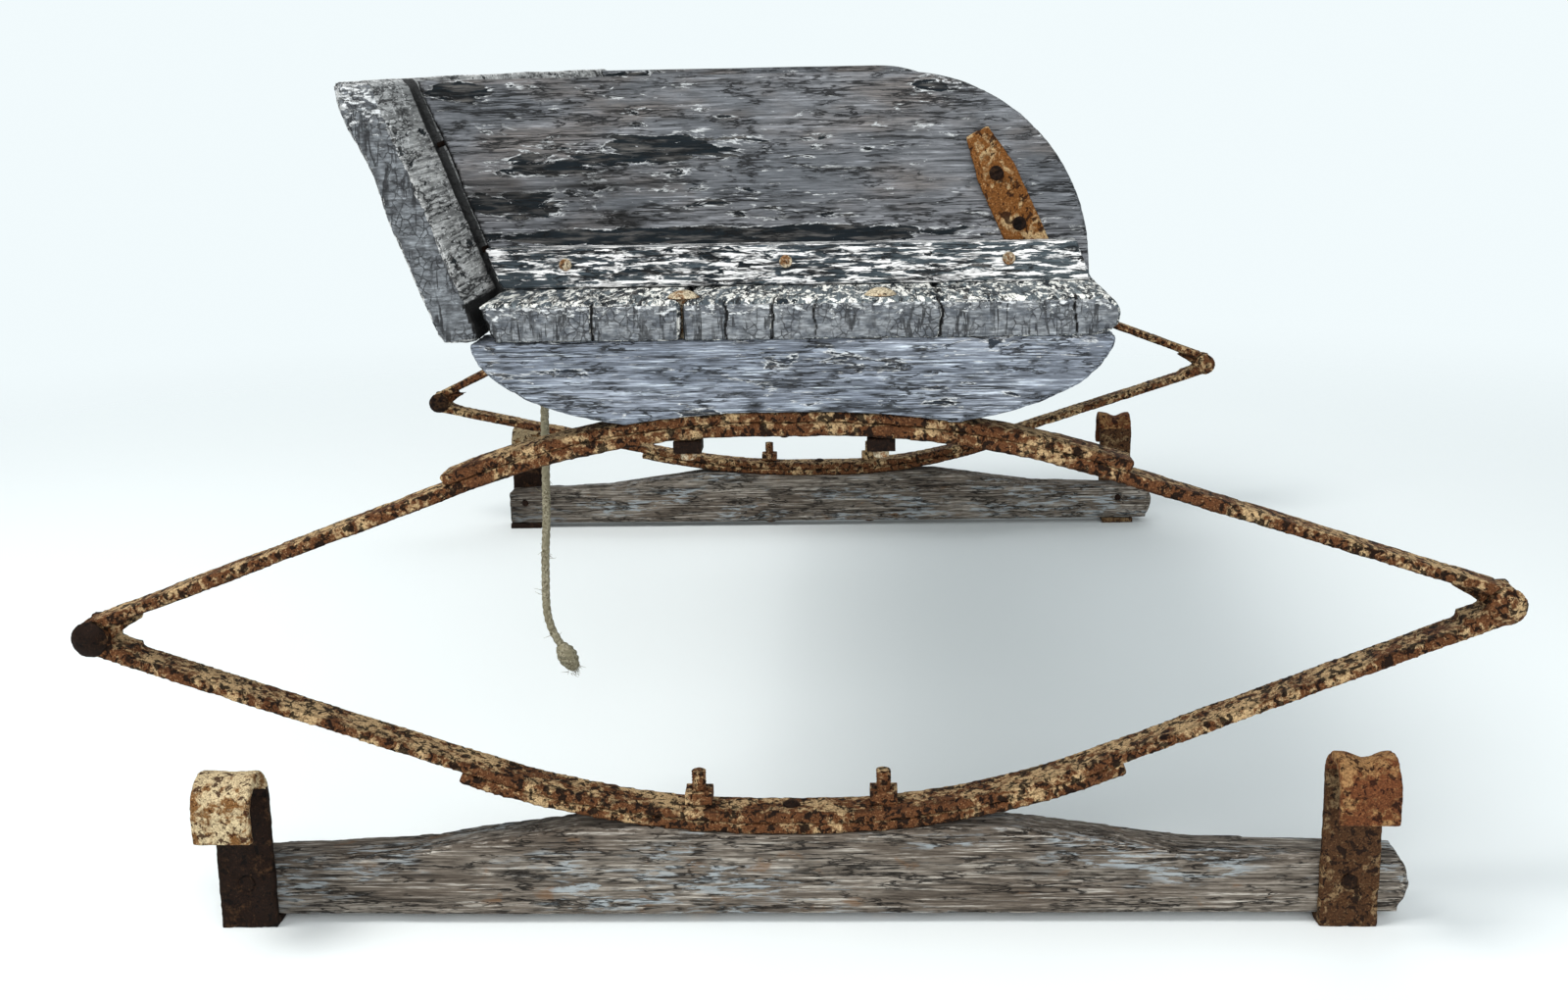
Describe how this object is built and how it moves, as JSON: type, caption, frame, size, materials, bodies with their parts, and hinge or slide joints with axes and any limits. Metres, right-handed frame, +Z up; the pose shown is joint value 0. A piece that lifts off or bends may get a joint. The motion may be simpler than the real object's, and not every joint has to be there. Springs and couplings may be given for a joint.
{
  "type": "wagon spring seat",
  "caption": "Plank seat with a leaning back board and rounded end panels, carried on two elliptic leaf springs over wooden bars with iron hooks that hang on a wagon's sides.",
  "frame": {"origin": "middle of the object, level with the undersides of the hooks' feet", "axes": "+Z up, +X towards the front of the seat, +Y along the seat to the sitter's left"},
  "size_m": [0.904, 1.126, 0.524],
  "materials": {
    "painted_panel_wood": "flaking blue-grey paint over weathered grain",
    "painted_seat_wood": "thin blue-grey paint, cracked and worn",
    "weathered_oak": "bare, grey and deeply grained",
    "rusty_spring_steel": "pitted rust with pale scale",
    "rusty_strap_iron": "rust with cream patches",
    "rusty_fasteners": "dark rust",
    "twine": "frayed, dusty"
  },
  "bodies": {
    "seat": {"seat_board_rear": "painted_seat_wood", "seat_board_front": "painted_seat_wood", "back_board": "painted_panel_wood", "back_nails": "rusty_fasteners", "right_end_panel": "painted_panel_wood", "left_end_panel": "painted_panel_wood", "panel_screws": "rusty_fasteners", "right_panel_strip": "painted_panel_wood", "left_panel_strip": "painted_panel_wood", "strip_nails": "rusty_fasteners", "right_stay": "rusty_strap_iron", "left_stay": "rusty_strap_iron", "stay_screws": "rusty_fasteners", "right_spring_block": "painted_seat_wood", "left_spring_block": "painted_seat_wood", "seat_bolts": "rusty_fasteners", "seat_bolt_nuts": "rusty_fasteners", "right_upper_main_leaf": "rusty_spring_steel", "right_upper_short_leaf": "rusty_spring_steel", "left_upper_main_leaf": "rusty_spring_steel", "left_upper_short_leaf": "rusty_spring_steel", "upper_leaf_rivets": "rusty_fasteners", "twine_staple": "rusty_fasteners", "twine_top_knot": "twine", "twine": "twine", "twine_end_knot": "twine"},
    "right_eyes": {"right_rear_eye_pin": "rusty_fasteners", "right_front_eye_pin": "rusty_fasteners", "right_eye_nuts": "rusty_fasteners"},
    "left_eyes": {"left_rear_eye_pin": "rusty_fasteners", "left_front_eye_pin": "rusty_fasteners", "left_eye_nuts": "rusty_fasteners"},
    "right_bar": {"right_lower_main_leaf": "rusty_spring_steel", "right_lower_short_leaf": "rusty_spring_steel", "right_lower_rivet": "rusty_fasteners", "right_bar": "weathered_oak", "right_rear_hook": "rusty_strap_iron", "right_front_hook": "rusty_strap_iron", "right_hook_rivets": "rusty_fasteners", "right_bar_bolts": "rusty_fasteners", "right_bar_nuts": "rusty_fasteners"},
    "left_bar": {"left_lower_main_leaf": "rusty_spring_steel", "left_lower_short_leaf": "rusty_spring_steel", "left_lower_rivet": "rusty_fasteners", "left_bar": "weathered_oak", "left_rear_hook": "rusty_strap_iron", "left_front_hook": "rusty_strap_iron", "left_hook_rivets": "rusty_fasteners", "left_bar_bolts": "rusty_fasteners", "left_bar_nuts": "rusty_fasteners"}
  },
  "joints": [
    {"name": "right_spring_slide", "type": "slide", "parent": "seat", "child": "right_bar", "axis": [0, 0, 1], "range_m": [-0.01, 0.075], "stiffness_N_per_m": 12000, "springref_m": -0.0057, "deforming": ["right_upper_main_leaf", "right_upper_short_leaf", "right_lower_main_leaf", "right_lower_short_leaf"]},
    {"name": "right_eye_slide", "type": "slide", "parent": "seat", "child": "right_eyes", "axis": [0, 0, 1], "range_m": [-0.006, 0.04]},
    {"name": "left_spring_slide", "type": "slide", "parent": "seat", "child": "left_bar", "axis": [0, 0, 1], "range_m": [-0.01, 0.075], "stiffness_N_per_m": 12000, "springref_m": -0.0057, "deforming": ["left_upper_main_leaf", "left_upper_short_leaf", "left_lower_main_leaf", "left_lower_short_leaf"]},
    {"name": "left_eye_slide", "type": "slide", "parent": "seat", "child": "left_eyes", "axis": [0, 0, 1], "range_m": [-0.006, 0.04]}
  ],
  "couplings": [
    {"joint": "right_eye_slide", "follows": "right_spring_slide", "ratio": 0.5},
    {"joint": "left_eye_slide", "follows": "left_spring_slide", "ratio": 0.5}
  ]
}
